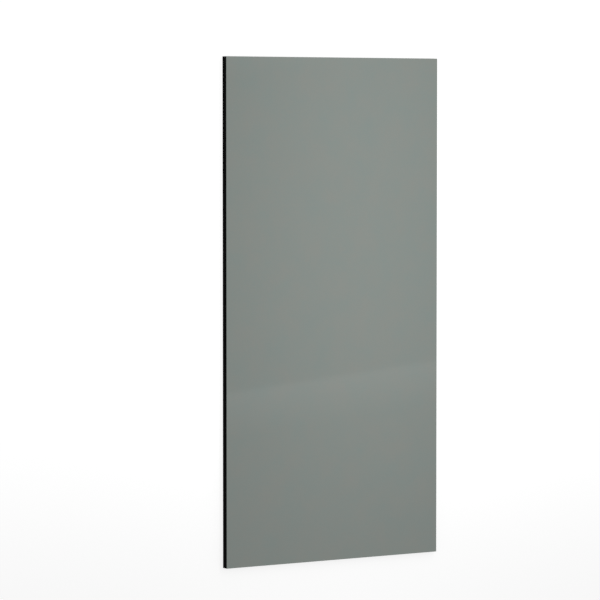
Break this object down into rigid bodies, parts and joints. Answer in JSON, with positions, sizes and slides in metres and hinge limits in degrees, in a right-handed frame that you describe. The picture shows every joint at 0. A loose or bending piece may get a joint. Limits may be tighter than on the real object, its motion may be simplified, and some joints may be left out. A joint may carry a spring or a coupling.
{
  "type": "decorative laminate sheet",
  "caption": "Full rectangular sheet of decorative laminate: one gloss grey-green face, a solid black core that shows at the trimmed edges, and a sanded back for bonding.",
  "frame": {"origin": "centre of the back face, the face that the sheet lies on", "axes": "+X across the 4 ft width, +Y along the 8 ft length, +Z out of the decorative face"},
  "size_m": [1.22, 2.44, 0.035],
  "materials": {
    "laminate": "gloss"
  },
  "bodies": {
    "root": {"laminate_sheet": "laminate"}
  },
  "joints": []
}
